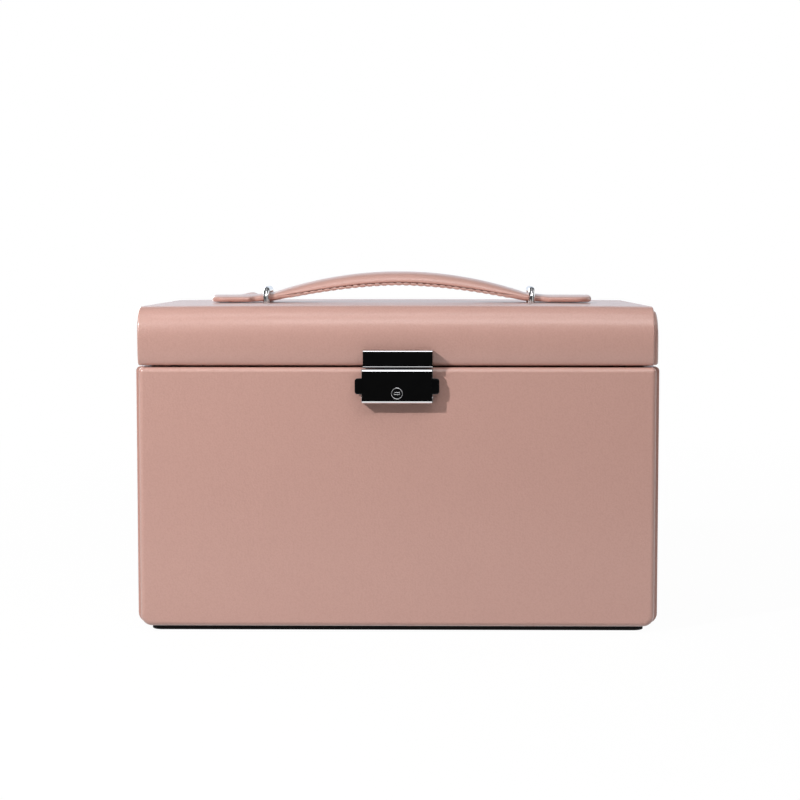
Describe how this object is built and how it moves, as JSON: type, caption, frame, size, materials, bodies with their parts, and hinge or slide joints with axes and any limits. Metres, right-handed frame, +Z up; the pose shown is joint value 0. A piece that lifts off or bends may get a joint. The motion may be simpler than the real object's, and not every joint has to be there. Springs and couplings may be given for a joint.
{
  "type": "jewellery box with handle",
  "caption": "Leather-covered jewellery case with a hinged lid, strap handle, front lock, a fixed tray and drawers that slide out as the lid opens.",
  "frame": {"origin": "middle of the underside of the base pad, on the surface that the case stands on", "axes": "+X along the width, to the right of a viewer at the front; -Y towards the front; +Z up"},
  "size_m": [0.302, 0.2083, 0.2079],
  "materials": {
    "leather": "fine pebble grain, semi-gloss",
    "strap": "fine pebble grain, stitched",
    "felt": "matt felt",
    "board": "plain fibreboard",
    "velvet": "short pile velvet",
    "steel": "brushed",
    "chrome": "polished",
    "black_chrome": "black mirror plating",
    "mirror": "silvered glass"
  },
  "bodies": {
    "case": {"base_pad": "felt", "floor_board": "board", "left_wall": "board", "right_wall": "board", "back_wall": "board", "body_cover": "leather", "middle_shelf": "velvet", "upper_deck": "velvet", "shelf_cleats": "board", "tray_walls": "velvet", "tray_dividers": "velvet", "tray_lining": "velvet", "ring_rolls": "velvet", "lever_pivot_studs": "steel", "body_hinge_leaves": "chrome", "body_hinge_screws": "chrome", "hinge_pins": "chrome"},
    "lid": {"lid_top_board": "board", "lid_front_rail": "board", "lid_back_rail": "board", "lid_side_rails": "board", "lid_cover": "leather", "mirror_glass": "mirror", "mirror_frame": "velvet", "left_loop": "chrome", "right_loop": "chrome", "loop_nuts": "steel", "hasp": "black_chrome", "hasp_rivets": "steel", "link_studs": "steel", "lid_hinge_leaves": "chrome", "lid_hinge_screws": "chrome"},
    "left_link": {"left_link": "steel"},
    "right_link": {"right_link": "steel"},
    "left_lever": {"left_lever": "steel"},
    "right_lever": {"right_lever": "steel"},
    "lower_drawer": {"front_panel_board": "board", "front_panel_cover": "leather", "lower_drawer_base": "velvet", "lower_drawer_sides": "velvet", "lower_drawer_back": "velvet", "lower_drawer_lining": "velvet", "lower_drawer_divider": "velvet", "lower_slot_brackets": "steel", "lock_case": "black_chrome", "lock_back_plate": "steel", "lock_screws": "steel", "button_springs": "steel"},
    "middle_drawer": {"middle_drawer_base": "velvet", "middle_drawer_sides": "velvet", "middle_drawer_ends": "velvet", "middle_drawer_lining": "velvet", "middle_drawer_dividers": "velvet", "middle_slot_brackets": "steel"},
    "key_barrel": {"key_barrel": "chrome"},
    "left_button": {"left_button": "black_chrome"},
    "right_button": {"right_button": "black_chrome"},
    "handle_grip": {"handle_grip": "strap"},
    "handle_end_left": {"handle_end_left": "strap"},
    "handle_end_right": {"handle_end_right": "strap"}
  },
  "joints": [
    {"name": "lid_hinge", "type": "hinge", "parent": "case", "child": "lid", "pos_m": [0, 0.0999, 0.1533], "axis": [-1, 0, 0], "range_deg": [0, 80]},
    {"name": "left_link_pivot", "type": "hinge", "parent": "lid", "child": "left_link", "pos_m": [-0.1408, 0.0699, 0.1613], "axis": [-1, 0, 0], "range_deg": [-80.01, 0]},
    {"name": "left_lever_pivot", "type": "hinge", "parent": "case", "child": "left_lever", "pos_m": [-0.139, 0.01432, 0.132], "axis": [-1, 0, 0], "range_deg": [0, 80.01]},
    {"name": "right_link_pivot", "type": "hinge", "parent": "lid", "child": "right_link", "pos_m": [0.1408, 0.0699, 0.1613], "axis": [-1, 0, 0], "range_deg": [-80.01, 0]},
    {"name": "right_lever_pivot", "type": "hinge", "parent": "case", "child": "right_lever", "pos_m": [0.139, 0.01432, 0.132], "axis": [-1, 0, 0], "range_deg": [0, 80.01]},
    {"name": "lower_drawer_slide", "type": "slide", "parent": "case", "child": "lower_drawer", "axis": [0, -1, 0], "range_m": [0, 0.12678]},
    {"name": "middle_drawer_slide", "type": "slide", "parent": "case", "child": "middle_drawer", "axis": [0, -1, 0], "range_m": [0, 0.06507]},
    {"name": "key_turn", "type": "hinge", "parent": "lower_drawer", "child": "key_barrel", "pos_m": [0, -0.1055, 0.1388], "axis": [0, -1, 0], "range_deg": [0, 90]},
    {"name": "left_button_press", "type": "slide", "parent": "lower_drawer", "child": "left_button", "axis": [1, 0, 0], "range_m": [0, 0.002], "stiffness_N_per_m": 300},
    {"name": "right_button_press", "type": "slide", "parent": "lower_drawer", "child": "right_button", "axis": [-1, 0, 0], "range_m": [0, 0.002], "stiffness_N_per_m": 300},
    {"name": "handle_lift", "type": "slide", "parent": "lid", "child": "handle_grip", "axis": [0, 0, 1], "range_m": [0, 0.0156]},
    {"name": "handle_end_left_slide", "type": "slide", "parent": "handle_grip", "child": "handle_end_left", "axis": [0.359, 0, -0.9333], "range_m": [0, 0.01673]},
    {"name": "handle_end_right_slide", "type": "slide", "parent": "handle_grip", "child": "handle_end_right", "axis": [-0.359, 0, -0.9333], "range_m": [0, 0.01673]}
  ],
  "couplings": [
    {"joint": "left_link_pivot", "follows": "lid_hinge", "ratio": -1},
    {"joint": "left_lever_pivot", "follows": "lid_hinge", "ratio": 1},
    {"joint": "right_link_pivot", "follows": "lid_hinge", "ratio": -1},
    {"joint": "right_lever_pivot", "follows": "lid_hinge", "ratio": 1},
    {"joint": "lower_drawer_slide", "follows": "lid_hinge", "m_per_rad": 0.090784},
    {"joint": "middle_drawer_slide", "follows": "lid_hinge", "m_per_rad": 0.046589},
    {"joint": "handle_end_left_slide", "follows": "handle_lift", "ratio": 1.0714},
    {"joint": "handle_end_right_slide", "follows": "handle_lift", "ratio": 1.0714}
  ]
}
